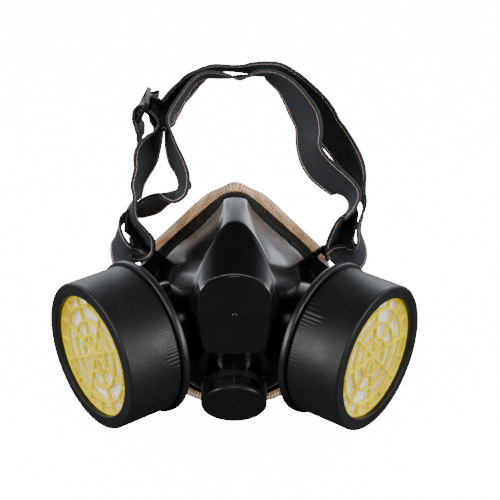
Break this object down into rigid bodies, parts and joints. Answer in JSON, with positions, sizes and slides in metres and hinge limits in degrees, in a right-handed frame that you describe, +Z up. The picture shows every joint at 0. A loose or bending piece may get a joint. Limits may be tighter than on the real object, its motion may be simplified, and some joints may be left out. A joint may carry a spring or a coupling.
{
  "type": "respirator",
  "caption": "Black half-mask respirator with two round side canisters behind yellow grilles, a front exhalation valve, a knit face seal and an elastic head strap.",
  "frame": {"origin": "on the floor, at the middle of the mask's bounding box", "axes": "+Z up, +X to the viewer's right across the two canisters, +Y towards the wearer's face"},
  "size_m": [0.2126, 0.1251, 0.1946],
  "materials": {
    "moulded_pvc": "glossy moulded black PVC",
    "knit_trim": "tan knit roll with a metallic thread",
    "binding_cloth": "dark overlocked cloth",
    "webbing": "ribbed black elastic webbing with tan edge threads",
    "buckle_plastic": "satin black plastic",
    "neck_plastic": "satin black plastic",
    "flap_rubber": "translucent pale silicone rubber",
    "gasket_rubber": "matt black rubber",
    "canister_plastic": "satin black plastic",
    "sleeve_rubber": "satin black rubber with fine moulding lines",
    "screen_plastic": "pale moulded plastic",
    "carbon": "black granules",
    "felt": "white needled felt",
    "grille_plastic": "yellow moulded plastic",
    "seat_plastic": "satin black plastic",
    "cover_plastic": "glossy black plastic"
  },
  "bodies": {
    "facepiece": {"facepiece": "moulded_pvc", "face_seal": "knit_trim", "seal_binding": "binding_cloth", "strap_end_left": "webbing", "strap_end_right": "webbing", "exhale_seat": "seat_plastic", "exhale_cover": "cover_plastic", "port_neck_left": "neck_plastic", "port_neck_right": "neck_plastic", "port_gasket_left": "gasket_rubber", "port_gasket_right": "gasket_rubber"},
    "head_strap": {"head_strap": "webbing"},
    "strap_buckle": {"strap_buckle": "buckle_plastic"},
    "exhale_flap": {"exhale_flap": "flap_rubber"},
    "canister_left": {"canister_base_left": "canister_plastic", "carbon_screen_left": "screen_plastic", "carbon_bed_left": "carbon", "felt_pad_left": "felt"},
    "sleeve_left": {"canister_sleeve_left": "sleeve_rubber", "canister_grille_left": "grille_plastic"},
    "inhale_flap_left": {"inhale_flap_left": "flap_rubber"},
    "canister_right": {"canister_base_right": "canister_plastic", "carbon_screen_right": "screen_plastic", "carbon_bed_right": "carbon", "felt_pad_right": "felt"},
    "sleeve_right": {"canister_sleeve_right": "sleeve_rubber", "canister_grille_right": "grille_plastic"},
    "inhale_flap_right": {"inhale_flap_right": "flap_rubber"}
  },
  "joints": [
    {"name": "canister_twist_left", "type": "hinge", "parent": "facepiece", "child": "canister_left", "pos_m": [-0.0502, -0.0045, 0.0452], "axis": [-0.8038, -0.5926, -0.0523], "range_deg": [0, 60]},
    {"name": "sleeve_pull_left", "type": "slide", "parent": "canister_left", "child": "sleeve_left", "axis": [-0.8038, -0.5926, -0.0523], "range_m": [0, 0.042]},
    {"name": "inhale_flap_left_lift", "type": "slide", "parent": "facepiece", "child": "inhale_flap_left", "axis": [0.8038, 0.5926, 0.0523], "range_m": [0, 0.0018], "stiffness_N_per_m": 20, "springref_m": -0.001},
    {"name": "canister_twist_right", "type": "hinge", "parent": "facepiece", "child": "canister_right", "pos_m": [0.0502, -0.0045, 0.0452], "axis": [0.8038, -0.5926, -0.0523], "range_deg": [0, 60]},
    {"name": "sleeve_pull_right", "type": "slide", "parent": "canister_right", "child": "sleeve_right", "axis": [0.8038, -0.5926, -0.0523], "range_m": [0, 0.042]},
    {"name": "inhale_flap_right_lift", "type": "slide", "parent": "facepiece", "child": "inhale_flap_right", "axis": [-0.8038, 0.5926, 0.0523], "range_m": [0, 0.0018], "stiffness_N_per_m": 20, "springref_m": -0.001},
    {"name": "exhale_flap_lift", "type": "slide", "parent": "facepiece", "child": "exhale_flap", "axis": [0, -0.8746, -0.4848], "range_m": [0, 0.002], "stiffness_N_per_m": 20, "springref_m": -0.001},
    {"name": "strap_swing", "type": "hinge", "parent": "facepiece", "child": "head_strap", "pos_m": [0, 0.038, 0.08], "axis": [1, 0, 0], "range_deg": [-66, 30]},
    {"name": "buckle_slide", "type": "slide", "parent": "head_strap", "child": "strap_buckle", "axis": [-0.45, 0, -0.893], "range_m": [0, 0.006]}
  ]
}
